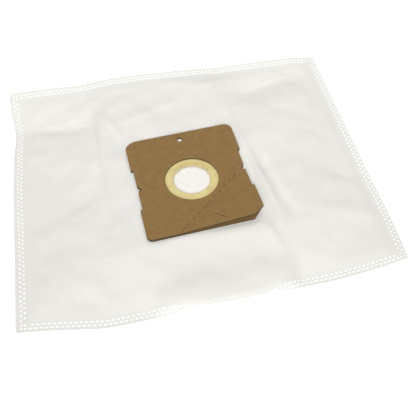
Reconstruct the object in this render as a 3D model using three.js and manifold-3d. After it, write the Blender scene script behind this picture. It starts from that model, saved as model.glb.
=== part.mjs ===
// Vacuum cleaner dust bag: two nonwoven sheets welded round the edge, with a cardboard collar
// and a rubber inlet seal on the front sheet. The bag is empty and lies on its back.
// Millimetres, +Z up. +X runs along the bag's width and +Y from its front edge to its back edge.

import * as THREE from 'three';
import { mergeVertices } from 'three/addons/utils/BufferGeometryUtils.js';
import Module from 'manifold-3d';

const wasm = await Module();
wasm.setup();

// Bag sheets
const bagWidth = 300;
const bagDepth = 252;
const fabricThickness = 0.5;
const seamWidth = 7.5;
const seamGap = 0.3;
const hollowHeight = 7.5;

// Folds left in the sheets by the packet, as distances from the sheet's edges
const leftFoldInset = 78;
const rightFoldInset = 94;
const backFoldInset = 46;
const foldDepth = 0.8;
const foldReach = 9;

// How the edges of the lying bag curl off the table
const leftCornerRise = 7;
const rightCornerRise = 8;
const leftCornerReach = [62, 105];
const rightCornerReach = [72, 80];
const frontWaveRise = 7;
const frontWaveAt = 11;
const frontWaveReach = [50, 20];

// Along one edge: place as a share of half the edge, then rise off the table or shift in plan
const backEdgeRise = [[-1, 12.5], [-0.17, 12], [0.33, 5.5], [0.84, 4.5], [1, 0]];
const frontEdgeShift = [[-1, 3], [-0.8, 0], [-0.48, -2.5], [-0.1, -3.2], [0.23, -3.2], [0.45, 0], [1, 0]];
const leftEdgeShift = [[-1, 4.2], [-0.2, 0], [0.1, 0], [0.4, 2], [0.63, 4], [0.87, 1.8], [1, 1.8]];
const frontShiftReach = 60;

// Collar of two die-cut boards. Its place is that of the inlet's centre, from the bag's centre.
const collarAt = [-0.9, -12.3];
const collarTurn = THREE.MathUtils.degToRad(2.7);
const collarWidth = 96;
const collarBack = 54;
const collarFront = 52.5;
const collarMargin = 6;
const boardThickness = 1.2;
const boardHoleRadius = 22.5;
const fabricHoleClearance = 1.5;

// Edge of the boards
const leftBackCut = [8.5, 6];
const leftBackBow = 2;
const rightBackCut = [7, 6.5];
const rightBackBow = 0.9;
const backBoardCut = [8.8, 9.5];
const frontBoardCut = [8.8, 6];
const frontCornerRadius = 4.7;
const gripRecessDepth = 1.9;
const gripRecessHalfLength = 21.5;
const gripRecessSlope = 0.4;
const notchDepth = 3;
const notchBack = 3.4;
const notchFlat = 1.5;
const notchFront = 2.1;
const pinHoleRadius = 2.4;
const pinHoleInset = 8;
const pinSlitWidth = 0.6;

// Closing flap of the front board: a corner bent up along a perforated line
const flapFootInset = 25.4;
const flapSlope = 0.127;
const flapSlitStart = [8.4, -40.7];
const flapSlitEnd = [17.6, -48.4];
const flapSlitWidth = 0.6;

// Rubber inlet seal, held between the boards
const sealThickness = 0.5;
const sealHoleRadius = 15;
const sealGripWidth = 8;
const sealBeadWidth = 1.2;
const sealBeadHeight = 0.3;

// Mesh steps
const sheetStep = 11;
const circleSides = 64;
const cornerSegments = 5;

// Sizes worked out from those above
const halfWidth = bagWidth / 2;
const halfDepth = bagDepth / 2;
const seamX = halfWidth - seamWidth;
const seamY = halfDepth - seamWidth;
const leftFoldX = leftFoldInset - halfWidth;
const rightFoldX = halfWidth - rightFoldInset;
const backFoldY = halfDepth - backFoldInset;
const collarHalfWidth = collarWidth / 2;
const flatX = collarHalfWidth + collarMargin;
const flatBackY = collarAt[1] + collarBack + collarMargin;
const flatFrontY = collarAt[1] - collarFront - collarMargin;
const backBoardBase = 2 * fabricThickness + hollowHeight;
const sealBase = backBoardBase + boardThickness;
const frontBoardBase = sealBase + sealThickness;

const clamp01 = (t) => THREE.MathUtils.clamp(t, 0, 1);
const ease = (t) => clamp01(t) ** 2 * (3 - 2 * clamp01(t));

// A merged closed geometry becomes a solid that can be cut and joined.
function toSolid(geometry) {
  const bare = geometry.clone();
  bare.deleteAttribute('normal');
  bare.deleteAttribute('uv');
  const merged = mergeVertices(bare, 1e-4);
  return new wasm.Manifold(new wasm.Mesh({
    numProp: 3,
    vertProperties: new Float32Array(merged.attributes.position.array),
    triVerts: new Uint32Array(merged.index.array),
  }));
}

function toGeometry(solid) {
  const mesh = solid.getMesh();
  const geometry = new THREE.BufferGeometry();
  geometry.setAttribute('position', new THREE.BufferAttribute(mesh.vertProperties, 3));
  geometry.setIndex(new THREE.BufferAttribute(mesh.triVerts, 1));
  geometry.computeVertexNormals();
  return geometry;
}

// Value at a place on an edge, straight between the listed ones
function along(edge, place) {
  const next = edge.findIndex(([at]) => at >= place);
  if (next === -1) return edge.at(-1)[1];
  if (next === 0) return edge[0][1];
  const [[from, before], [to, after]] = edge.slice(next - 1, next + 1);
  return THREE.MathUtils.mapLinear(place, from, to, before, after);
}

// One corner of the front edge lifts, fading out along both of its edges.
function cornerLift(x, y, side, rise, reach) {
  const away = Math.hypot((side * x - halfWidth) / reach[0], (y + halfDepth) / reach[1]);
  return rise * clamp01(1 - away) ** 1.3;
}

// Height of the back sheet's underside above the table
function sheetLift(x, y) {
  const back = along(backEdgeRise, x / halfWidth) * clamp01((y - backFoldY) / backFoldInset) ** 1.6;
  const wave = frontWaveRise * ease(1 - Math.abs(x - frontWaveAt) / frontWaveReach[0])
    * clamp01(1 - (y + halfDepth) / frontWaveReach[1]) ** 1.5;
  return back + wave
    + cornerLift(x, y, -1, leftCornerRise, leftCornerReach)
    + cornerLift(x, y, 1, rightCornerRise, rightCornerReach);
}

// Room between the sheets: closed at the weld, full height under the collar
function sheetLoft(x, y) {
  const acrossX = clamp01((seamX - Math.abs(x)) / (seamX - flatX));
  const acrossY = Math.min((seamY - y) / (seamY - flatBackY), (seamY + y) / (seamY + flatFrontY));
  const swell = Math.sin(Math.PI / 2 * acrossX) * Math.sin(Math.PI / 2 * clamp01(acrossY));
  const valley = (distance) => clamp01(1 - Math.abs(distance) / foldReach);
  const fold = Math.max(valley(x - leftFoldX), valley(x - rightFoldX), valley(y - backFoldY));
  const outsideCollar = Math.abs(x) > flatX || y > flatBackY || y < flatFrontY;
  return seamGap + swell * (hollowHeight - seamGap - (outsideCollar ? foldDepth * fold : 0));
}

// Place in plan of a point of the flat sheet: the front edge bows out and the left edge draws in
function sheetPlan(x, y) {
  const inward = along(leftEdgeShift, y / halfDepth) * clamp01(-x / halfWidth) ** 3;
  const forward = along(frontEdgeShift, x / halfWidth) * clamp01(1 - (y + halfDepth) / frontShiftReach);
  return [x + inward, y + forward];
}

// Grid lines that pass through each given place, with no step longer than sheetStep
function gridLines(places) {
  const sorted = [...new Set(places)].sort((a, b) => a - b);
  const lines = [sorted[0]];
  for (let i = 1; i < sorted.length; i += 1) {
    const span = sorted[i] - sorted[i - 1];
    const count = Math.ceil(span / sheetStep);
    for (let k = 1; k <= count; k += 1) lines.push(sorted[i - 1] + (span * k) / count);
  }
  return lines;
}

// A closed sheet over the grid, with its underside at the height that base gives
function sheetGeometry(base) {
  const xs = gridLines([-halfWidth, -seamX, leftFoldX - foldReach, leftFoldX, leftFoldX + foldReach,
    -flatX, flatX, rightFoldX, rightFoldX + foldReach, seamX, halfWidth]);
  const ys = gridLines([-halfDepth, -seamY, flatFrontY, flatBackY, backFoldY - foldReach, backFoldY,
    backFoldY + foldReach, seamY, halfDepth]);
  const positions = [];
  for (const thickness of [0, fabricThickness]) {
    for (const y of ys) {
      for (const x of xs) positions.push(...sheetPlan(x, y), base(x, y) + thickness);
    }
  }
  const layer = xs.length * ys.length;
  const index = [];
  const quad = (a, b, c, d) => index.push(a, b, c, a, c, d);
  for (let j = 0; j < ys.length - 1; j += 1) {
    for (let i = 0; i < xs.length - 1; i += 1) {
      const a = j * xs.length + i;
      const b = a + 1;
      const c = b + xs.length;
      const d = a + xs.length;
      quad(a, d, c, b);
      quad(layer + a, layer + b, layer + c, layer + d);
    }
  }
  const rim = [];
  for (let i = 0; i < xs.length - 1; i += 1) rim.push(i);
  for (let j = 0; j < ys.length - 1; j += 1) rim.push(j * xs.length + xs.length - 1);
  for (let i = xs.length - 1; i > 0; i -= 1) rim.push((ys.length - 1) * xs.length + i);
  for (let j = ys.length - 1; j > 0; j -= 1) rim.push(j * xs.length);
  rim.forEach((a, k) => {
    const b = rim[(k + 1) % rim.length];
    quad(a, b, layer + b, layer + a);
  });
  const geometry = new THREE.BufferGeometry();
  geometry.setAttribute('position', new THREE.Float32BufferAttribute(positions, 3));
  geometry.setIndex(index);
  geometry.computeVertexNormals();
  return geometry;
}

function backPanelGeometry() {
  return sheetGeometry(sheetLift);
}

// Round punch that cuts the inlet through a sheet or a board
function inletPunch(radius, x, y) {
  const punch = new THREE.CylinderGeometry(radius, radius, 4 * backBoardBase, circleSides);
  punch.rotateX(Math.PI / 2);
  punch.translate(x, y, 0);
  return toSolid(punch);
}

function frontPanelGeometry() {
  const sheet = toSolid(sheetGeometry((x, y) => sheetLift(x, y) + fabricThickness + sheetLoft(x, y)));
  return toGeometry(sheet.subtract(inletPunch(boardHoleRadius + fabricHoleClearance, ...collarAt)));
}

// Side of the boards with its grip recess and locating notch, as points from back to front
function gripEdge(side) {
  const outer = collarHalfWidth;
  const inner = outer - gripRecessDepth;
  return [
    [outer, gripRecessHalfLength + gripRecessSlope],
    [inner, gripRecessHalfLength],
    [inner, notchBack],
    [inner - notchDepth, 0],
    [inner - notchDepth, -notchFlat],
    [inner, -notchFront],
    [inner, -gripRecessHalfLength],
    [outer, -gripRecessHalfLength - gripRecessSlope],
  ].map(([x, y]) => new THREE.Vector2(side * x, y));
}

const flapHead = new THREE.Vector2(collarHalfWidth - gripRecessDepth - notchDepth, 0);
const flapFoot = new THREE.Vector2(flapFootInset - collarHalfWidth, -collarFront);

// The part of the boards on the bag's side of the perforated line
function mainOutline() {
  const w = collarHalfWidth;
  const outline = new THREE.Shape();
  outline.moveTo(flapHead.x, flapHead.y);
  gripEdge(1).slice(0, 3).reverse().forEach((p) => outline.lineTo(p.x, p.y));
  outline.lineTo(w, collarBack - rightBackCut[1]);
  outline.quadraticCurveTo(w - rightBackBow, collarBack - rightBackBow, w - rightBackCut[0], collarBack);
  const slit = pinSlitWidth / 2;
  const pinY = collarBack - pinHoleInset;
  const gape = Math.asin(slit / pinHoleRadius);
  outline.lineTo(slit, collarBack);
  outline.absarc(0, pinY, pinHoleRadius, Math.PI / 2 - gape, Math.PI / 2 + gape, true);
  outline.lineTo(-slit, collarBack);
  outline.lineTo(leftBackCut[0] - w, collarBack);
  outline.quadraticCurveTo(leftBackBow - w, collarBack - leftBackBow, -w, collarBack - leftBackCut[1]);
  gripEdge(-1).forEach((p) => outline.lineTo(p.x, p.y));
  outline.lineTo(-w, frontCornerRadius - collarFront);
  outline.absarc(frontCornerRadius - w, frontCornerRadius - collarFront, frontCornerRadius,
    Math.PI, Math.PI * 1.5, false);
  outline.lineTo(flapFoot.x, flapFoot.y);
  outline.closePath();
  return outline;
}

// The corner beyond the perforated line, with its own corner cut off
function flapOutline(cut) {
  const outline = new THREE.Shape();
  outline.moveTo(flapFoot.x, flapFoot.y);
  outline.lineTo(collarHalfWidth - cut[0], -collarFront);
  outline.lineTo(collarHalfWidth, cut[1] - collarFront);
  gripEdge(1).slice(4).reverse().forEach((p) => outline.lineTo(p.x, p.y));
  outline.lineTo(flapHead.x, flapHead.y);
  outline.closePath();
  outline.holes.push(flapSlit());
  return outline;
}

// Straight cut across the flap, as a narrow slot
function flapSlit() {
  const start = new THREE.Vector2(...flapSlitStart);
  const end = new THREE.Vector2(...flapSlitEnd);
  const aside = end.clone().sub(start).normalize().rotateAround(new THREE.Vector2(), Math.PI / 2)
    .multiplyScalar(flapSlitWidth / 2);
  return new THREE.Path([
    start.clone().add(aside),
    end.clone().add(aside),
    end.clone().sub(aside),
    start.clone().sub(aside),
  ]);
}

// A plate over an outline, raised at each point by the height that rise gives
function plateSolid(outline, rise) {
  const geometry = new THREE.ExtrudeGeometry(outline, {
    depth: boardThickness,
    bevelEnabled: false,
    curveSegments: cornerSegments,
  });
  const position = geometry.attributes.position;
  for (let i = 0; i < position.count; i += 1) {
    position.setZ(i, position.getZ(i) + rise(position.getX(i), position.getY(i)));
  }
  return toSolid(geometry);
}

// Distance of a point beyond the perforated line
function beyondFold(x, y) {
  const fold = flapHead.clone().sub(flapFoot).normalize();
  return (x - flapFoot.x) * fold.y - (y - flapFoot.y) * fold.x;
}

function boardGeometry(cut, slope) {
  const level = () => 0;
  const tilted = (x, y) => slope * beyondFold(x, y);
  const board = plateSolid(mainOutline(), level).add(plateSolid(flapOutline(cut), tilted));
  return toGeometry(board.subtract(inletPunch(boardHoleRadius, 0, 0)));
}

function frontBoardGeometry() {
  return boardGeometry(frontBoardCut, flapSlope);
}

function backBoardGeometry() {
  return boardGeometry(backBoardCut, 0);
}

// Flat ring with a small bead round the opening
function sealGeometry() {
  const outer = boardHoleRadius + sealGripWidth;
  const profile = [
    [sealHoleRadius, -sealBeadHeight],
    [sealHoleRadius + sealBeadWidth, -sealBeadHeight],
    [sealHoleRadius + sealBeadWidth + sealBeadHeight, 0],
    [outer, 0],
    [outer, sealThickness],
    [sealHoleRadius + sealBeadWidth + sealBeadHeight, sealThickness],
    [sealHoleRadius + sealBeadWidth, sealThickness + sealBeadHeight],
    [sealHoleRadius, sealThickness + sealBeadHeight],
    [sealHoleRadius, -sealBeadHeight],
  ].map(([x, y]) => new THREE.Vector2(x, y));
  const geometry = new THREE.LatheGeometry(profile, circleSides);
  geometry.rotateX(Math.PI / 2);
  return toGeometry(toSolid(geometry));
}

const nonwoven = () => new THREE.MeshStandardMaterial({ color: 0xebebe6, roughness: 0.9, metalness: 0 });
const kraftBoard = () => new THREE.MeshStandardMaterial({ color: 0x8f7346, roughness: 0.85, metalness: 0 });
const sealRubber = () => new THREE.MeshStandardMaterial({ color: 0xdccd8a, roughness: 0.6, metalness: 0 });

function piece(name, geometry, material, height = 0) {
  const mesh = new THREE.Mesh(geometry, material);
  mesh.name = name;
  mesh.position.z = height;
  return mesh;
}

const collar = new THREE.Group();
collar.position.set(...collarAt, 0);
collar.rotation.z = collarTurn;
collar.add(
  piece('collar_back_board', backBoardGeometry(), kraftBoard(), backBoardBase),
  piece('inlet_seal', sealGeometry(), sealRubber(), sealBase),
  piece('collar_front_board', frontBoardGeometry(), kraftBoard(), frontBoardBase),
);

const bag = new THREE.Group();
bag.add(
  piece('back_panel', backPanelGeometry(), nonwoven()),
  piece('front_panel', frontPanelGeometry(), nonwoven()),
  collar,
);

// The origin is under the middle of the bag's outline.
const outline = new THREE.Box3().setFromObject(bag);
const middle = outline.getCenter(new THREE.Vector3());
bag.position.set(-middle.x, -middle.y, -outline.min.z);

export default bag;
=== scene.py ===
import math

import bmesh
import bpy
import numpy as np
from mathutils import Matrix, Vector, geometry


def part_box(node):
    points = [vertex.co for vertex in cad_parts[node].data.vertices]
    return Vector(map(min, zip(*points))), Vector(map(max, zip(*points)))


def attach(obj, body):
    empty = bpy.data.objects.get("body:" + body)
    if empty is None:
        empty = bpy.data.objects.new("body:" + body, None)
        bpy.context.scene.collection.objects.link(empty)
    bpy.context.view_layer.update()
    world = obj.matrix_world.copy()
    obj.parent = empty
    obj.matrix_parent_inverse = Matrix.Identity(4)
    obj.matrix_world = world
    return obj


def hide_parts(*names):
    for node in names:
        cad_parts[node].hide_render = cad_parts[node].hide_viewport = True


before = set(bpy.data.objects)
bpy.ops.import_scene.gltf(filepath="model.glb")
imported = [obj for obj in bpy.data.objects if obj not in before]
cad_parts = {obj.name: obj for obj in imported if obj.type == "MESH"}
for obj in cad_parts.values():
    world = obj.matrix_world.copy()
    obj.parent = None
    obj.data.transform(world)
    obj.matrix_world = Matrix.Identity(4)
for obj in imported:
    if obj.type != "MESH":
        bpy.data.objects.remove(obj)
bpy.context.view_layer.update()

# Back sheet
# The lower of two white nonwoven filter sheets, cut flat to 300 by 255 mm. The bag lies on it, and two
# staggered rows of small weld points join it to the front sheet along all four sides.
bag_width = 0.300
bag_depth = 0.252
half_width = bag_width / 2
half_depth = bag_depth / 2
fabric_thickness = 0.0005
pressed_thickness = 0.00025
seam_gap = 0.00003
seam_width = 0.0075
seam_blend = 2 * seam_width
collar_at = Vector((-0.0009, -0.0123))

seal_low, seal_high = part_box("inlet_seal")
collar_place = (seal_low + seal_high) / 2
bag_shift = collar_place.to_2d() - collar_at

left_fold_at = -0.072
right_fold_at = 0.056
left_fold_reach = 0.012
right_fold_reach = 0.024
back_fold_reach = 0.030
back_fold_places = [-0.150, -0.074, 0.056, 0.135, 0.150]
back_folds = [0.085, 0.075, 0.088, 0.106, 0.107]
back_fold_middle = 0.052
back_rise_places = [-0.150, -0.110, -0.083, -0.055, -0.025, 0.005, 0.034, 0.049, 0.064, 0.095, 0.126, 0.150]
back_rises = [0.0125, 0.0115, 0.0096, 0.0126, 0.0119, 0.0100, 0.0080, 0.0052, 0.0061, 0.0053, 0.0044, 0.0]
back_rise_blur = 0.007
back_blur_steps = 5
back_middle_power = 1.3
back_strip_power = 1.15
left_corner_rise = 0.007
right_corner_rise = 0.008
left_corner_reach = (0.062, 0.105)
right_corner_reach = (0.072, 0.080)
left_corner_draw = Vector((0.0014, 0.0042))
right_corner_draw = Vector((-0.0050, 0.0030))
corner_power = 1.3
right_draw_power = 2
front_bulge = 0.0025
front_bulge_at = -0.072
front_bulge_reach = (0.060, 0.070)
side_bulge = 0.0012
side_draw = 0.0012
side_draw_from = 0.010
side_draw_to = 0.050
side_draw_power = 3
side_dent = 0.0022
side_dent_at = 0.080
side_dent_reach = 0.030

curl_from = -0.058
curl_full_from = 0.002
curl_full_to = 0.022
curl_to = 0.066
curl_reach = 0.0095
curl_turn = math.radians(-285)
least_turn = 1e-4
curl_rise = 0.0072
curl_rise_power = 5
curl_rise_reach = 0.045
curl_advance = 0.0090
curl_advance_reach = 0.090


def share(value, start, end):
    """How far value has come from start to end, eased at both ends."""
    t = np.clip((value - start) / (end - start), 0, 1)
    return t * t * (3 - 2 * t)


def near_corner(u, v, side, reach):
    """1 at a corner of the front edge, falling to 0 at reach along both of its edges."""
    return np.maximum(1 - np.hypot((side * u - half_width) / reach[0], (v + half_depth) / reach[1]), 0)


def back_fold(u):
    """Whether a place is between the two side folds, and where the back fold crosses it."""
    middle = share(u, left_fold_at - left_fold_reach, left_fold_at + left_fold_reach)
    middle = middle * share(u, right_fold_at + right_fold_reach, right_fold_at - right_fold_reach)
    return middle, np.interp(u, back_fold_places, back_folds)


def back_lift(u, v):
    """The back edge stands up off the table beyond the fold, less steeply between the two side folds."""
    middle, fold_at = back_fold(u)
    shifts = back_rise_blur * np.linspace(-1, 1, back_blur_steps)
    rise = sum(np.interp(u + shift, back_rise_places, back_rises) for shift in shifts) / back_blur_steps
    beyond = np.maximum((v - fold_at) / (half_depth - fold_at), 0)
    gentle = np.maximum((v - back_fold_middle) / (half_depth - back_fold_middle), 0)
    return rise * (middle * gentle**back_middle_power + (1 - middle) * beyond**back_strip_power)


def front_curl(u):
    """How far the front edge is rolled under, from 0 to 1."""
    return share(u, curl_from, curl_full_from) * share(u, curl_to, curl_full_to)


def table_side(u, v):
    """Where a point of the flat cut lies on the back sheet's lower face."""
    at_left = near_corner(u, v, -1, left_corner_reach)
    at_right = near_corner(u, v, 1, right_corner_reach)
    lift = back_lift(u, v) + left_corner_rise * at_left**corner_power
    lift = lift + right_corner_rise * at_right**corner_power
    draw = side_draw * share(v, side_draw_from, side_draw_to) - side_bulge
    draw = draw + side_dent * share(np.abs(v - side_dent_at), side_dent_reach, 0)
    draw = draw * np.maximum(-u / half_width, 0) ** side_draw_power
    bulge = front_bulge * share(np.abs(u - front_bulge_at), front_bulge_reach[0], 0)
    bulge = bulge * np.clip(1 - (v + half_depth) / front_bulge_reach[1], 0, 1)
    curl = front_curl(u)
    turn = np.minimum(curl_turn * curl, -least_turn)
    inside = np.maximum(1 - (v + half_depth) / curl_reach, 0)
    drawn_back = curl_reach * (inside - np.sin(turn * inside) / turn)
    lift = lift + curl_reach * (1 - np.cos(turn * inside)) / turn
    rise = curl_rise * (1 - (1 - curl) ** curl_rise_power)
    lift = lift + rise * share(v, curl_rise_reach - half_depth, -half_depth)
    advance = curl_advance * curl * share(v, curl_advance_reach - half_depth, -half_depth)
    pulled = at_right**right_draw_power
    x = u + draw + left_corner_draw.x * at_left + right_corner_draw.x * pulled + bag_shift.x
    y = v + left_corner_draw.y * at_left + right_corner_draw.y * pulled + bag_shift.y
    y = y - bulge + drawn_back - advance
    return np.stack([x, y, lift], axis=-1)


slope_step = 0.0004


def outward(surface, u, v):
    """Direction that a surface faces, away from the table."""
    along = surface(u + slope_step, v) - surface(u - slope_step, v)
    across = surface(u, v + slope_step) - surface(u, v - slope_step)
    facing = np.cross(along, across)
    return facing / np.linalg.norm(facing, axis=-1, keepdims=True)


def thickness(u, v):
    """The sheet's thickness: pressed thin along the seam."""
    to_edge = np.minimum(half_width - np.abs(u), half_depth - np.abs(v))
    full = share(to_edge, seam_width, seam_blend)
    return pressed_thickness + (fabric_thickness - pressed_thickness) * full


lining_reach = 0.040
lining_full_reach = 0.016
lining_rise = 0.0076
lining_wrinkle = 0.0003
lining_wrinkle_pitch = 0.0100
lining_slant = 0.5
lining_sway = 0.12
lining_sway_rate = 160


def back_inner(u, v):
    """The loose innermost layer stands up a little, with fine wrinkles, where the inlet frees it."""
    loose = share(np.hypot(u - collar_at.x, v - collar_at.y), lining_reach, lining_full_reach)
    across = lining_slant * u + v + lining_sway * np.sin(u * lining_sway_rate)
    wrinkle = lining_wrinkle * np.sin(2 * math.pi * across / lining_wrinkle_pitch)
    height = thickness(u, v) + loose * (lining_rise + wrinkle)
    return table_side(u, v) + height[..., None] * outward(table_side, u, v)


weld_row = 0.0028
weld_pitch_front = 0.0038
weld_pitch_side = 0.0045
weld_margins = {"left": 0.0024, "right": 0.0009, "front": 0.0011, "back": 0.0021}
weld_along = 0.0013
weld_across = 0.00095
weld_floor_share = 0.74
weld_depth = 0.00018
weld_corners = 16
sharp_angle = math.radians(60)
fabric_slot, weld_slot, lining_slot = range(3)

# Grid lines in the seam beside the edge, and which of them carry the outer and the inner weld row, each with
# the first crossing that has a point
seam_steps = 4
weld_lines = ((2, 6), (4, 7))


def seam_lines(half, low_margin, high_margin, pitch):
    """Grid lines over one side's length: an edge strip, two weld rows of two steps each, the inside in
    steps of half a pitch, two weld rows and an edge strip."""
    start = -half + low_margin + seam_steps * weld_row / 2
    end = half - high_margin - seam_steps * weld_row / 2
    points = round((end - start) / pitch)
    low = start + weld_row / 2 * np.arange(-seam_steps, 0)
    high = end + weld_row / 2 * np.arange(1, seam_steps + 1)
    return np.concatenate([[-half], low, np.linspace(start, end, 2 * points + 1), high, [half]])


def weld_places(across_x, across_y):
    """Grid crossings with a weld point, each with its half lengths along x and y."""
    last_x, last_y = len(across_x) - 1, len(across_y) - 1
    places = {}
    for line, first in weld_lines:
        for i in range(first, last_x - first + 1, 2):
            for j in (line, last_y - line):
                places[i, j] = (weld_along, weld_across)
        for j in range(first, last_y - first + 1, 2):
            for i in (line, last_x - line):
                places[i, j] = (weld_across, weld_along)
    (outer, _), (inner, _) = weld_lines
    for i in (outer, inner, last_x - inner, last_x - outer):
        for j in (outer, inner, last_y - inner, last_y - outer):
            places[i, j] = (weld_across, weld_across)
    return places


def sheet_piece(name, outer, inner, up, hole=None):
    """A sheet between two faces. Its outer face is pressed in at every weld point. The points get flat where
    the front edge is rolled under, because at full depth the two sheets overlap there."""
    lines_x = seam_lines(half_width, weld_margins["left"], weld_margins["right"], weld_pitch_front)
    lines_y = seam_lines(half_depth, weld_margins["front"], weld_margins["back"], weld_pitch_side)
    count_x, count_y = len(lines_x), len(lines_y)
    u, v = (a.T.ravel() for a in np.meshgrid(lines_x, lines_y, indexing="ij"))
    u, v = u.copy(), v.copy()
    index = lambda i, j: i + j * count_x

    cells = {(i, j) for i in range(count_x - 1) for j in range(count_y - 1)}
    if hole:
        centre, radius = hole
        cut = set()
        for i, j in cells:
            mid_x = (lines_x[i] + lines_x[i + 1]) / 2 - centre.x
            mid_y = (lines_y[j] + lines_y[j + 1]) / 2 - centre.y
            if math.hypot(mid_x, mid_y) < radius:
                cut.add((i, j))
        cells -= cut
        corners_of = lambda some: {index(i + a, j + b) for i, j in some for a in (0, 1) for b in (0, 1)}
        for k in corners_of(cut) & corners_of(cells):
            away = Vector((u[k], v[k])) - centre
            u[k], v[k] = centre + away * (radius / away.length)

    places = weld_places(lines_x, lines_y)
    around = [(1, 0), (1, 1), (0, 1), (-1, 1), (-1, 0), (-1, -1), (0, -1), (1, -1)]
    welded = {(i - a, j - b) for i, j in places for a in (0, 1) for b in (0, 1)}
    faces, slots = [], []
    for i, j in sorted(cells - welded):
        faces.append([index(i, j), index(i + 1, j), index(i + 1, j + 1), index(i, j + 1)])
        slots.append(fabric_slot)

    extra_u, extra_v = [], []
    pressed = np.zeros(len(u))
    extra_pressed = []
    turns = np.arange(weld_corners) * 2 * math.pi / weld_corners
    for (i, j), (along_x, along_y) in places.items():
        middle = index(i, j)
        rim = len(u) + len(extra_u)
        floor = rim + weld_corners
        for size, depth in ((1, 0), (weld_floor_share, weld_depth)):
            extra_u.extend(u[middle] + along_x * size * np.cos(turns))
            extra_v.extend(v[middle] + along_y * size * np.sin(turns))
            extra_pressed.extend([depth] * weld_corners)
        pressed[middle] = weld_depth
        border = [index(i + a, j + b) for a, b in around]
        for k in range(len(border)):
            near, far = 2 * k, 2 * k + 1
            end = (2 * k + 2) % weld_corners
            faces.append([border[k], border[(k + 1) % len(border)], rim + end, rim + far, rim + near])
            slots.append(fabric_slot)
        for k in range(weld_corners):
            after = (k + 1) % weld_corners
            faces.append([rim + k, rim + after, floor + after, floor + k])
            faces.append([floor + k, floor + after, middle])
            slots.extend([weld_slot, weld_slot])

    outer_u, outer_v = np.concatenate([u, extra_u]), np.concatenate([v, extra_v])
    rolled = front_curl(outer_u) * (outer_v < curl_reach - half_depth)
    depth = (np.concatenate([pressed, extra_pressed]) * (1 - rolled))[:, None]
    side = 1 if up else -1
    outer_points = outer(outer_u, outer_v) - side * depth * outward(outer, outer_u, outer_v)
    inner_points = inner(u, v)
    base = len(outer_points)
    if not up:
        faces = [f[::-1] for f in faces]

    # The same face from its other side, with the same first corner, so that both sheets' faces split alike
    turned = lambda quad: quad[:1] + quad[:0:-1]
    inner_faces, edges = [], {}
    for i, j in sorted(cells):
        quad = [index(i, j), index(i + 1, j), index(i + 1, j + 1), index(i, j + 1)]
        if not up:
            quad = turned(quad)
        inner_faces.append([base + k for k in turned(quad)])
        for a, b in zip(quad, quad[1:] + quad[:1]):
            edges[a, b] = (b, a) in edges
            if (b, a) in edges:
                edges[b, a] = True
    rim_faces = [[b, a, base + a, base + b] for (a, b), shared in edges.items() if not shared]

    mesh = bpy.data.meshes.new(name)
    points = np.concatenate([outer_points, inner_points]).tolist()
    mesh.from_pydata(points, [], faces + inner_faces + rim_faces)
    slots += [lining_slot] * len(inner_faces) + [fabric_slot] * len(rim_faces)
    mesh.polygons.foreach_set("material_index", slots)
    mesh.shade_smooth()
    mesh.set_sharp_from_angle(angle=sharp_angle)
    piece = bpy.data.objects.new(name, mesh)
    bpy.context.collection.objects.link(piece)
    return piece


def node(tree, kind, links=(), **values):
    """Adds a shader node, sets its sockets by name, and joins (own socket, other node, its output)."""
    made = tree.nodes.new(kind)
    for name, value in values.items():
        if hasattr(made, name):
            setattr(made, name, value)
        else:
            made.inputs[name.replace("_", " ")].default_value = value
    for own, other, output in links:
        tree.links.new(other.outputs[output], made.inputs[own])
    return made


def blank_material(name, colour, roughness, **values):
    """A new material with its node tree and its shader."""
    material = bpy.data.materials.new(name)
    material.use_nodes = True
    shader = material.node_tree.nodes["Principled BSDF"]
    shader.inputs["Base Color"].default_value = (*colour, 1)
    shader.inputs["Roughness"].default_value = roughness
    for name, value in values.items():
        shader.inputs[name.replace("_", " ")].default_value = value
    return material, material.node_tree, shader


def tint(tree, shader, source, output, *stops):
    """Colours the surface by a source, between stops of (position, colour)."""
    ramp = node(tree, "ShaderNodeValToRGB", [("Fac", source, output)])
    ends = ramp.color_ramp.elements
    for end, (position, colour) in zip((ends[0], ends[1]), (stops[0], stops[-1])):
        end.position = position
        end.color = colour
    for position, colour in stops[1:-1]:
        ends.new(position).color = colour
    tree.links.new(ramp.outputs["Color"], shader.inputs["Base Color"])


def roughen(tree, shader, source, output, strength, distance):
    """Gives the surface fine bumps by a source."""
    bump = node(tree, "ShaderNodeBump", [("Height", source, output)], Strength=strength, Distance=distance)
    tree.links.new(bump.outputs["Normal"], shader.inputs["Normal"])


fabric_light = (0.860, 0.851, 0.812, 1)
fabric_dark = (0.818, 0.809, 0.768, 1)

nonwoven, tree, shader = blank_material(
    "nonwoven", fabric_light[:3], 0.86, Sheen_Weight=0.15, Sheen_Roughness=0.6)
place = node(tree, "ShaderNodeTexCoord")
long_way = node(tree, "ShaderNodeMapping", [("Vector", place, "Object")], Scale=(420, 2600, 900))
cross_way = node(tree, "ShaderNodeMapping", [("Vector", place, "Object")],
                 Scale=(2300, 380, 900), Rotation=(0, 0, 0.35))
long_fibres = node(tree, "ShaderNodeTexNoise", [("Vector", long_way, "Vector")],
                   Scale=1.0, Detail=3.0, Distortion=1.6)
cross_fibres = node(tree, "ShaderNodeTexNoise", [("Vector", cross_way, "Vector")],
                    Scale=1.0, Detail=3.0, Distortion=1.6)
fibres = node(tree, "ShaderNodeMath", [(0, long_fibres, "Fac"), (1, cross_fibres, "Fac")],
              operation="MULTIPLY")
tint(tree, shader, fibres, 0, (0.10, fabric_dark), (0.42, fabric_light))
bond_place = node(tree, "ShaderNodeMapping", [("Vector", place, "Object")],
                  Scale=(620, 620, 620), Rotation=(0, 0, math.pi / 4))
bonds = node(tree, "ShaderNodeTexVoronoi", [("Vector", bond_place, "Vector")], Scale=1.0, Randomness=0.12)
bond_dip = node(tree, "ShaderNodeMapRange", [("Value", bonds, "Distance")], From_Min=0.18, From_Max=0.34)
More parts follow.
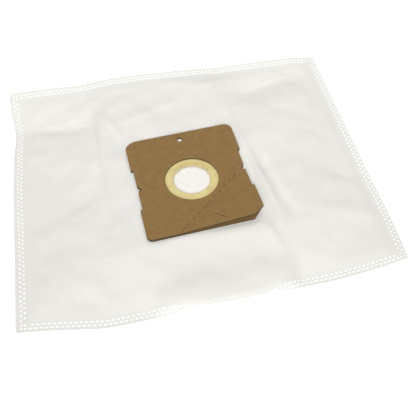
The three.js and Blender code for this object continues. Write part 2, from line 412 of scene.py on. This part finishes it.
relief = node(tree, "ShaderNodeMath", [(0, fibres, 0), (1, bond_dip, "Result")], operation="ADD")
roughen(tree, shader, relief, 0, strength=0.35, distance=0.00012)

weld_film, tree, shader = blank_material("weld_film", (1.0, 1.0, 0.985), 0.42)
place = node(tree, "ShaderNodeTexCoord")
grain = node(tree, "ShaderNodeTexNoise", [("Vector", place, "Object")], Scale=2200.0, Detail=2.0)
roughen(tree, shader, grain, "Fac", strength=0.2, distance=0.00005)

lining, tree, shader = blank_material("lining", (0.925, 0.915, 0.870), 0.9)
place = node(tree, "ShaderNodeTexCoord")
felt = node(tree, "ShaderNodeTexNoise", [("Vector", place, "Object")],
            Scale=700.0, Detail=4.0, Roughness=0.65)
roughen(tree, shader, felt, "Fac", strength=0.3, distance=0.0002)

back_sheet = sheet_piece("back_sheet", table_side, back_inner, up=False)
for layer in (nonwoven, weld_film, lining):
    back_sheet.data.materials.append(layer)
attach(back_sheet, "root")
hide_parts("back_panel")

# Front sheet
# The upper sheet of the same fabric, with the inlet hole punched in its middle. It puffs up to the collar
# that is glued on it, and keeps the creases of the flat packet that the bag was folded into.
hollow_height = 0.0075
left_sag = 0.55
collar_turn = math.radians(2.7)
collar_half_width = 0.048
collar_back = 0.054
collar_front = 0.0525
collar_margin = 0.006
flat_x = collar_half_width + collar_margin
flat_back = collar_at.y + collar_back + collar_margin
flat_front = collar_at.y - collar_front - collar_margin
sheet_hole_radius = 0.024
pin_inset = 0.008
pin_radius = 0.0024
tuft_radius = 0.94 * pin_radius
tuft_middle = 0.0010
tuft_height = 0.0015
back_fold_past = 0.0045
free_from = 0.0004
free_to = 0.0035
valley_floor = 0.7
relief_full_from = 3 * seam_width

# Creases as points on the flat cut, height, and reach to the right and to the left of the way along them
creases = [
    ([(-0.076, 0.112), (-0.0725, 0.094), (-0.0717, 0.062), (-0.0726, 0.043), (-0.0725, 0.019),
      (-0.0715, -0.004), (-0.0689, -0.026), (-0.0670, -0.045), (-0.0657, -0.067), (-0.0640, -0.090)],
     0.0020, 0.0044, 0.0120),
    ([(0.0486, 0.080), (0.0483, 0.057), (0.0490, 0.044), (0.0508, 0.025), (0.0542, 0.000),
      (0.0574, -0.022), (0.0593, -0.041), (0.0613, -0.054), (0.0622, -0.070), (0.0638, -0.083)],
     0.0017, 0.0120, 0.0050),
    ([(0.0455, 0.028), (0.0465, 0.015), (0.0485, 0.003), (0.0498, -0.009), (0.0511, -0.022),
      (0.0528, -0.040), (0.0543, -0.052), (0.0549, -0.063), (0.0552, -0.071), (0.0570, -0.084)],
     -0.0022, 0.0060, 0.0060),
    ([(0.0610, 0.020), (0.0640, -0.010), (0.0670, -0.030), (0.0705, -0.050), (0.0750, -0.078)],
     -0.0020, 0.0080, 0.0080),
    ([(-0.0735, 0.0950), (-0.0682, 0.0826), (-0.0613, 0.0692), (-0.0562, 0.0577), (-0.0524, 0.0443)],
     0.0021, 0.0060, 0.0065),
    ([(-0.142, 0.085), (-0.107, 0.080), (-0.084, 0.076), (-0.074, 0.077)], -0.0010, 0.010, 0.004),
    ([(0.052, 0.084), (0.075, 0.090), (0.100, 0.098), (0.135, 0.106)], -0.0010, 0.012, 0.004),
    ([(0.049, -0.068), (0.056, -0.098)], 0.0012, 0.008, 0.006),
]
ridge_power = 1.5
crease_end_from = -0.03
crease_end_to = 0.3

# Waves of the loose fabric as height, cell and seed, and finer streaks towards the back edge
waves = [(0.0015, 0.034, 4), (0.00080, 0.0150, 9), (0.00024, 0.0065, 2)]
wave_cells = 64
wave_turn = (0.9, 0.4)
streak_height = 0.0006
streak_cell = 0.0085
streak_stretch = 4.5
streak_slant = (0.25, 0.3)
streak_seed = 6
streak_from = 0.050


def crease(u, v, points, height, right, left):
    """Height of one crease beside the line through its points: a sharp ridge, or a round valley."""
    nearest, side, passed = np.full(np.shape(u), np.inf), np.ones(np.shape(u)), np.zeros(np.shape(u))
    length = 0
    for (x0, y0), (x1, y1) in zip(points, points[1:]):
        span_x, span_y = x1 - x0, y1 - y0
        along = np.clip(((u - x0) * span_x + (v - y0) * span_y) / (span_x**2 + span_y**2), 0, 1)
        off_x, off_y = u - x0 - along * span_x, v - y0 - along * span_y
        closer = np.hypot(off_x, off_y) < nearest
        nearest = np.where(closer, np.hypot(off_x, off_y), nearest)
        side = np.where(closer, span_x * off_y - span_y * off_x, side)
        passed = np.where(closer, length + along * math.hypot(span_x, span_y), passed)
        length += math.hypot(span_x, span_y)
    near = np.maximum(1 - nearest / np.where(side > 0, left, right), 0)
    ends = share(np.minimum(passed, length - passed), crease_end_from * length, crease_end_to * length)
    return height * ends * (near**ridge_power if height > 0 else share(near, 0, 1))


def ripple(u, v, cell, seed):
    """Smooth random waves between -1 and 1, about two cells long."""
    table = np.random.default_rng(seed).uniform(-1, 1, (wave_cells, wave_cells))
    i, j = np.floor(u / cell).astype(int), np.floor(v / cell).astype(int)
    a, b = share(u / cell - i, 0, 1), share(v / cell - j, 0, 1)
    level = lambda di, dj: table[(i + di) % wave_cells, (j + dj) % wave_cells]
    near = level(0, 0) * (1 - a) + level(1, 0) * a
    far = level(0, 1) * (1 - a) + level(1, 1) * a
    return near * (1 - b) + far * b


def loft(u, v):
    """Room between the sheets: closed at the weld, full under the collar, less in the flatter left panel."""
    to_side = np.clip((half_width - seam_width - np.abs(u)) / (half_width - seam_width - flat_x), 0, 1)
    to_back = np.clip((half_depth - seam_width - v) / (half_depth - seam_width - flat_back), 0, 1)
    to_front = (half_depth - seam_width + v) / (half_depth - seam_width + flat_front)
    swell = np.sin(math.pi / 2 * to_side) * np.sin(math.pi / 2 * to_back) * np.clip(to_front, 0, 1)
    left_panel = share(u, collar_at.x - collar_half_width, left_fold_at - left_fold_reach)
    swell = swell * (1 - left_sag * left_panel)
    middle, fold_at = back_fold(u)
    closing = share(v, fold_at - back_fold_reach, fold_at + back_fold_past)
    swell = swell * (1 - (1 - middle) * closing)
    from_collar_x = (u - collar_at.x) * math.cos(collar_turn) + (v - collar_at.y) * math.sin(collar_turn)
    from_collar_y = (v - collar_at.y) * math.cos(collar_turn) - (u - collar_at.x) * math.sin(collar_turn)
    beside_x = np.maximum(np.abs(from_collar_x) - collar_half_width, 0)
    beside_y = np.maximum(np.maximum(from_collar_y - collar_back, -collar_front - from_collar_y), 0)
    free = share(np.hypot(beside_x, beside_y), free_from, free_to)
    relief = sum(crease(u, v, *shape) for shape in creases)
    ahead, aside = wave_turn
    for height, cell, seed in waves:
        relief = relief + height * ripple(ahead * u + aside * v, ahead * v - aside * u, cell, seed)
    across, along = streak_slant
    streaks = ripple(u / streak_stretch - across * v, v - along * u, streak_cell, streak_seed)
    relief = relief + streak_height * streaks * share(v, streak_from, streak_from + 2 * streak_cell)
    to_edge = np.minimum(half_width - np.abs(u), half_depth - np.abs(v))
    off_seam = share(to_edge, seam_width, relief_full_from)
    relief = np.maximum(relief, -valley_floor * swell * hollow_height)
    return seam_gap + swell * (hollow_height - seam_gap) + free * off_seam * relief


def front_inner(u, v):
    facing = outward(table_side, u, v)
    return table_side(u, v) + (thickness(u, v) + loft(u, v))[..., None] * facing


def front_outer(u, v):
    facing = outward(table_side, u, v)
    return table_side(u, v) + (2 * thickness(u, v) + loft(u, v))[..., None] * facing


inlet_hole = (collar_at, sheet_hole_radius)
front_sheet = sheet_piece("front_sheet", front_outer, front_inner, up=True, hole=inlet_hole)
for layer in (nonwoven, weld_film, lining):
    front_sheet.data.materials.append(layer)

# The sheet swells up into the collar's pin hole
board_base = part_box("collar_back_board")[0].z
pin_place = Matrix.Rotation(collar_turn, 2) @ Vector((0, collar_back - pin_inset)) + collar_place.to_2d()
tuft = bmesh.new()
tuft.from_mesh(front_sheet.data)
tuft_size = Matrix.Diagonal((tuft_radius, tuft_radius, tuft_height, 1))
tuft_place = Matrix.Translation((*pin_place, board_base + tuft_middle))
bmesh.ops.create_icosphere(tuft, subdivisions=2, radius=1, matrix=tuft_place @ tuft_size)
tuft.to_mesh(front_sheet.data)
tuft.free()
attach(front_sheet, "root")
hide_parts("front_panel")

# Collar back board
# The lower of two die-cut plates of brown kraft board, glued to the front sheet round the inlet. Grip
# recesses, notches and the pin hole at the back place it in the cleaner's holder.
board_thickness = 0.0012
board_hole_radius = 0.0225
left_back_cut = Vector((0.0085, 0.0060))
left_back_bow = 0.0020
right_back_cut = Vector((0.0070, 0.0065))
right_back_bow = 0.0009
back_board_cut = Vector((0.0088, 0.0095))
front_board_cut = Vector((0.0088, 0.0060))
front_corner_radius = 0.0047
grip_depth = 0.0019
grip_half_length = 0.0215
grip_slope = 0.0004
notch_depth = 0.003
notch_back = 0.0034
notch_flat = 0.0015
notch_front = 0.0021
pin_slit = 0.0003
corner_steps = 6
bow_steps = 6
pin_steps = 20
inlet_sides = 72


def arc(centre, radius, start, end, steps):
    """Points on an arc from start to end, in degrees."""
    turns = (math.radians(start + (end - start) * k / steps) for k in range(steps + 1))
    return [Vector((centre[0] + radius * math.cos(t), centre[1] + radius * math.sin(t))) for t in turns]


def bow(start, middle, end):
    """Points on a smooth curve from start to end that is drawn towards middle."""
    start, middle, end = Vector(start), Vector(middle), Vector(end)
    shares = (k / bow_steps for k in range(bow_steps + 1))
    return [start * (1 - t) ** 2 + middle * 2 * t * (1 - t) + end * t * t for t in shares]


def grip_edge(side):
    """One long side from back to front, with its grip recess and notch."""
    outer, inner = collar_half_width, collar_half_width - grip_depth
    steps = [
        (outer, grip_half_length + grip_slope), (inner, grip_half_length),
        (inner, notch_back), (inner - notch_depth, 0),
        (inner - notch_depth, -notch_flat), (inner, -notch_front),
        (inner, -grip_half_length), (outer, -grip_half_length - grip_slope),
    ]
    return [Vector((side * x, y)) for x, y in steps]


def board_outline(front_cut):
    """The die-cut outline, anticlockwise from the front left corner."""
    w, back, front = collar_half_width, collar_back, -collar_front
    gape = math.degrees(math.asin(pin_slit / 2 / pin_radius))
    corner = (front_corner_radius - w, front_corner_radius + front)
    outline = arc(corner, front_corner_radius, 180, 270, corner_steps)
    outline += [Vector((w - front_cut.x, front)), Vector((w, front_cut.y + front))]
    outline += grip_edge(1)[::-1]
    cut, drawn = right_back_cut, right_back_bow
    outline += bow((w, back - cut.y), (w - drawn, back - drawn), (w - cut.x, back))
    outline += [Vector((pin_slit / 2, back))]
    outline += arc((0, back - pin_inset), pin_radius, 90 - gape, 90 + gape - 360, pin_steps)
    outline += [Vector((-pin_slit / 2, back))]
    cut, drawn = left_back_cut, left_back_bow
    outline += bow((cut.x - w, back), (drawn - w, back - drawn), (-w, back - cut.y))
    outline += grip_edge(-1)
    return outline


step_slack = 0.01


def subdivided(loop, step):
    """A closed loop with points added so that no stretch is longer than step, but for a slack."""
    points = []
    for a, b in zip(loop, loop[1:] + loop[:1]):
        count = max(1, math.ceil((b - a).length / step - step_slack))
        points += [a.lerp(b, k / count) for k in range(count)]
    return points


def inside(loops, x, y):
    """Whether each point lies within the first loop and in none of the others."""
    crossings = np.zeros(np.shape(x), int)
    for loop in loops:
        for a, b in zip(loop, loop[1:] + loop[:1]):
            spans = (a.y > y) != (b.y > y)
            height = b.y - a.y if b.y != a.y else 1
            crossings += spans & (x < a.x + (y - a.y) * (b.x - a.x) / height)
    return crossings % 2 == 1


board_step = 0.0026
board_grid_shift = board_step / 3
board_grid_clearance = board_step * 0.6
merge_reach = 1e-7
pressed_edge = 0.00018
pressed_steps = 2
pressed_angle = math.radians(50)
face_slot, wall_slot = range(2)


def board_piece(name, loops, base, rise):
    """A plate over the loops, with fine bevelled edges, raised by what rise gives at each point."""
    fine = [subdivided(loop, board_step) for loop in loops]
    points, edges = [], []
    for loop in fine:
        first = len(points)
        points += loop
        edges += [(first + k, first + (k + 1) % len(loop)) for k in range(len(loop))]
    across = np.arange(-collar_half_width, collar_half_width, board_step)
    x, y = np.meshgrid(across, np.arange(-collar_front, collar_back, board_step))
    x, y = x.ravel() + board_grid_shift, y.ravel() + board_grid_shift
    border = np.array([tuple(p) for p in points])
    nearest = [np.hypot(border[:, 0] - a, border[:, 1] - b).min() for a, b in zip(x, y)]
    kept = inside(fine, x, y) & (np.array(nearest) > board_grid_clearance)
    points += [Vector((a, b)) for a, b in zip(x[kept], y[kept])]
    flat, _, triangles, *_ = geometry.delaunay_2d_cdt(points, edges, [], 0, merge_reach)
    centres = np.array([sum((flat[k] for k in t), Vector((0, 0))) / 3 for t in triangles])
    kept = inside(fine, centres[:, 0], centres[:, 1])
    triangles = [t for t, keep in zip(triangles, kept) if keep]

    turn = Matrix.Rotation(collar_turn, 2)
    vertices = []
    for height in (0, board_thickness):
        for p in flat:
            place = turn @ p
            z = base + height + rise(p.x, p.y)
            vertices.append((place.x + collar_place.x, place.y + collar_place.y, z))
    top = len(flat)
    faces = [list(t[::-1]) for t in triangles] + [[k + top for k in t] for t in triangles]
    edges = {(a, b) for t in triangles for a, b in zip(t, (*t[1:], t[0]))}
    walls = [[a, b, b + top, a + top] for a, b in sorted(edges) if (b, a) not in edges]
    mesh = bpy.data.meshes.new(name)
    mesh.from_pydata(vertices, [], faces + walls)
    slots = [face_slot] * len(faces) + [wall_slot] * len(walls)
    mesh.polygons.foreach_set("material_index", slots)
    mesh.shade_smooth()
    piece = bpy.data.objects.new(name, mesh)
    bpy.context.collection.objects.link(piece)
    edge = piece.modifiers.new("pressed_edge", "BEVEL")
    edge.width = pressed_edge
    edge.segments = pressed_steps
    edge.limit_method = "ANGLE"
    edge.angle_limit = pressed_angle
    edge.harden_normals = True
    return piece


kraft_dark = (0.200, 0.113, 0.032, 1)
kraft_middle = (0.243, 0.140, 0.039, 1)
kraft_light = (0.281, 0.167, 0.051, 1)

kraft_face, tree, shader = blank_material("kraft_face", kraft_middle[:3], 0.78)
place = node(tree, "ShaderNodeTexCoord")
grain_way = node(tree, "ShaderNodeMapping", [("Vector", place, "Object")],
                 Scale=(300, 1500, 700), Rotation=(0, 0, 0.1))
grain = node(tree, "ShaderNodeTexNoise", [("Vector", grain_way, "Vector")],
             Scale=1.0, Detail=5.0, Roughness=0.65, Distortion=1.2)
cloudy = node(tree, "ShaderNodeTexNoise", [("Vector", place, "Object")],
              Scale=160.0, Detail=5.0, Roughness=0.7)
mixed = node(tree, "ShaderNodeMath", [(0, grain, "Fac"), (1, cloudy, "Fac")], operation="ADD")
half = node(tree, "ShaderNodeMath", [(0, mixed, 0)], operation="MULTIPLY")
half.inputs[1].default_value = 0.5
tint(tree, shader, half, 0, (0.34, kraft_dark), (0.50, kraft_middle), (0.66, kraft_light))
roughen(tree, shader, grain, "Fac", strength=0.3, distance=0.00012)

# Cut edges of the kraft board: their own darker tone, made darker still as painted shade for the shadowed
# wedge under the raised flap and the gap between the boards
edge_dark_painted_shade = (0.038, 0.024, 0.010, 1)
edge_light_painted_shade = (0.096, 0.066, 0.031, 1)

kraft_edge_painted_shade, tree, shader = blank_material("kraft_edge_painted_shade", (0.17, 0.12, 0.06), 0.92)
place = node(tree, "ShaderNodeTexCoord")
layer_way = node(tree, "ShaderNodeMapping", [("Vector", place, "Object")], Scale=(500, 500, 5200))
layers = node(tree, "ShaderNodeTexNoise", [("Vector", layer_way, "Vector")], Scale=1.0, Detail=3.0)
tint(tree, shader, layers, "Fac", (0.35, edge_dark_painted_shade), (0.7, edge_light_painted_shade))
roughen(tree, shader, layers, "Fac", strength=0.5, distance=0.0001)

inlet_loop = arc((0, 0), board_hole_radius, 0, 360 * (inlet_sides - 1) / inlet_sides, inlet_sides - 1)
back_loops = [board_outline(back_board_cut), inlet_loop]
back_board = board_piece("back_board", back_loops, board_base, rise=lambda x, y: 0)
back_board.data.materials.append(kraft_face)
back_board.data.materials.append(kraft_edge_painted_shade)
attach(back_board, "root")
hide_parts("collar_back_board")

# Inlet seal
# A flat ring of soft pale yellow rubber, gripped between the two boards. The cleaner's hose stub pushes
# through its opening, and the bead round the opening closes on the stub.
seal_thickness = 0.0005
seal_hole_radius = 0.0156
seal_grip = 0.008
seal_outer_radius = board_hole_radius + seal_grip
bead_width = 0.0012
bead_skirt = 1.6 * bead_width
bead_height = 0.0003
seal_middle = collar_place.z
seal_sides = 144
bead_steps = 6


def seal_profile():
    """Half section of the ring, round the opening's bead and back, as (radius, height) points."""
    half = seal_thickness / 2
    crown = seal_hole_radius + bead_width / 2
    top = [(seal_outer_radius, half), (board_hole_radius, half), (seal_hole_radius + bead_skirt, half)]
    for k in range(bead_steps + 1):
        turn = math.pi * k / bead_steps
        top.append((crown + bead_width / 2 * math.cos(turn), half + bead_height * math.sin(turn)))
    bottom = [(radius, -height) for radius, height in top[::-1]]
    return top + bottom


profile = seal_profile()
points = []
for k in range(seal_sides):
    turn = 2 * math.pi * k / seal_sides
    for radius, height in profile:
        place = (collar_place.x + radius * math.cos(turn), collar_place.y + radius * math.sin(turn))
        points.append((*place, seal_middle + height))
size = len(profile)
faces = []
for k in range(seal_sides):
    here, there = k * size, (k + 1) % seal_sides * size
    for i in range(size):
        after = (i + 1) % size
        faces.append([here + i, there + i, there + after, here + after])
mesh = bpy.data.meshes.new("seal_ring")
mesh.from_pydata(points, [], faces)
mesh.shade_smooth()
seal_ring = bpy.data.objects.new("seal_ring", mesh)
bpy.context.collection.objects.link(seal_ring)

rubber_dark = (0.640, 0.520, 0.205, 1)
rubber_light = (0.760, 0.650, 0.290, 1)

seal_rubber, tree, shader = blank_material("seal_rubber", (0.72, 0.61, 0.255), 0.55)
place = node(tree, "ShaderNodeTexCoord")
cloudy = node(tree, "ShaderNodeTexNoise", [("Vector", place, "Object")], Scale=110.0, Detail=4.0)
tint(tree, shader, cloudy, "Fac", (0.35, rubber_dark), (0.65, rubber_light))
skin = node(tree, "ShaderNodeTexNoise", [("Vector", place, "Object")], Scale=1800.0, Detail=2.0)
roughen(tree, shader, skin, "Fac", strength=0.15, distance=0.00005)
seal_ring.data.materials.append(seal_rubber)
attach(seal_ring, "root")
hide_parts("inlet_seal")

# Collar front board
# The upper plate, cut with the same die. A perforated line crosses its front right corner, and that corner
# is bent up a little as the closing flap, with one short slit.
front_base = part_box("collar_front_board")[0].z
flap_head = Vector((collar_half_width - grip_depth - notch_depth, 0))
flap_foot_inset = 0.0254
flap_foot = Vector((flap_foot_inset - collar_half_width, -collar_front))
flap_slope = 0.127
flap_bend = 0.0016
flap_level_from = 0.02
largest_power = 60
flap_slit = (Vector((0.0084, -0.0407)), Vector((0.0176, -0.0484)))
slit_width = 0.00045
dash_length = 0.0036
dash_width = 0.00036
dash_pitch = 0.0069
dash_inset = 0.0030


def slot_loop(start, end, width):
    """The outline of a straight slot."""
    along = (end - start).normalized()
    aside = Vector((-along.y, along.x)) * width / 2
    return [start + aside, start - aside, end - aside, end + aside]


def flap_rise(x, y):
    """Height of the bent corner: level, then a short bend, then an even slope."""
    along = (flap_head - flap_foot).normalized()
    beyond = (x - flap_foot.x) * along.y - (y - flap_foot.y) * along.x
    if beyond <= -flap_level_from:
        return 0
    return flap_slope * flap_bend * math.log1p(math.exp(min(beyond / flap_bend, largest_power)))


def perforations():
    """Slots along the flap's line, clear of its ends and of the inlet."""
    line = flap_head - flap_foot
    along = line.normalized()
    slots = []
    start = dash_inset
    while start + dash_length < line.length - dash_inset:
        a, b = flap_foot + along * start, flap_foot + along * (start + dash_length)
        if ((a + b) / 2).length > board_hole_radius + dash_length:
            slots.append(slot_loop(a, b, dash_width))
        start += dash_pitch
    return slots


front_loops = [board_outline(front_board_cut), inlet_loop, slot_loop(*flap_slit, slit_width)]
front_loops += perforations()
front_board = board_piece("front_board", front_loops, front_base, flap_rise)
front_board.data.materials.append(kraft_face)
front_board.data.materials.append(kraft_edge_painted_shade)
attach(front_board, "root")
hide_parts("collar_front_board")

# Table, light and camera
# A plain white table in an evenly lit white room, under a large soft lamp at the front left and a small
# weak one above the back edge, seen from the front and well above. The rolled seam just clears the table.
table_side_length = 6.0
table_drop = 0.0004
mesh = bpy.data.meshes.new("table")
reach = table_side_length / 2
corners = [(-reach, -reach, 0), (reach, -reach, 0), (reach, reach, 0), (-reach, reach, 0)]
mesh.from_pydata(corners, [], [(0, 1, 2, 3)])
table = bpy.data.objects.new("table", mesh)
bpy.context.collection.objects.link(table)
table.location.z = -table_drop


def seen_directly(tree):
    """1 where the eye, a reflection or a clear material sees a surface, 0 for the light it sends."""
    ray = node(tree, "ShaderNodeLightPath")
    seen = node(tree, "ShaderNodeMath", [(0, ray, "Is Camera Ray"), (1, ray, "Is Glossy Ray")],
                operation="MAXIMUM")
    return node(tree, "ShaderNodeMath", [(0, seen, 0), (1, ray, "Is Transmission Ray")], operation="MAXIMUM")


table_white = bpy.data.materials.new("table_white")
table_white.use_nodes = True
tree = table_white.node_tree
tree.nodes.clear()
paint = node(tree, "ShaderNodeBsdfDiffuse", Color=(0.82, 0.82, 0.82, 1))
glow = node(tree, "ShaderNodeEmission", Strength=0.55)
bright = node(tree, "ShaderNodeAddShader", [(0, paint, "BSDF"), (1, glow, "Emission")])
surface = node(tree, "ShaderNodeMixShader",
               [(0, seen_directly(tree), 0), (1, paint, "BSDF"), (2, bright, "Shader")])
node(tree, "ShaderNodeOutputMaterial", [("Surface", surface, "Shader")])
table.data.materials.append(table_white)

room = bpy.data.worlds.new("room")
bpy.context.scene.world = room
room.use_nodes = True
tree = room.node_tree
tree.nodes.clear()
dim = node(tree, "ShaderNodeBackground", Color=(0.98, 0.99, 1.0, 1), Strength=0.32)
white = node(tree, "ShaderNodeBackground", Color=(1, 1, 1, 1), Strength=1.0)
mixed = node(tree, "ShaderNodeMixShader",
             [(0, seen_directly(tree), 0), (1, dim, "Background"), (2, white, "Background")])
node(tree, "ShaderNodeOutputWorld", [("Surface", mixed, "Shader")])


def soft_lamp(name, place, aim, size, energy):
    """A square lamp that faces the point it is aimed at."""
    lamp_data = bpy.data.lights.new(name, "AREA")
    lamp_data.shape = "SQUARE"
    lamp_data.size = size
    lamp_data.energy = energy
    lamp_data.color = (1.0, 0.99, 0.97)
    lamp = bpy.data.objects.new(name, lamp_data)
    bpy.context.collection.objects.link(lamp)
    lamp.location = place
    lamp.rotation_euler = (aim - lamp.location).to_track_quat("-Z", "Y").to_euler()


soft_lamp("front_lamp", place=Vector((-0.45, -1.70, 1.60)), aim=Vector((0, 0, 0)), size=1.2, energy=40)
soft_lamp("back_lamp", place=Vector((0.16, 0.30, 0.60)), aim=Vector((0.04, 0.09, 0)), size=0.4, energy=1.3)

camera_at = Vector((-0.0481, -0.3346, 0.4043))
camera_aim = Vector((0.0055, -0.0378, 0.006))
camera_roll = math.radians(-1.87)
camera_data = bpy.data.cameras.new("camera")
camera_data.lens = 53.26
camera_data.sensor_width = 36
camera_data.clip_start = 0.01
camera = bpy.data.objects.new("camera", camera_data)
bpy.context.collection.objects.link(camera)
camera.location = camera_at
level = (camera_aim - camera_at).to_track_quat("-Z", "Y").to_matrix()
camera.rotation_euler = (level @ Matrix.Rotation(camera_roll, 3, "Z")).to_euler()
bpy.context.scene.camera = camera
bpy.context.scene.view_settings.view_transform = "Standard"
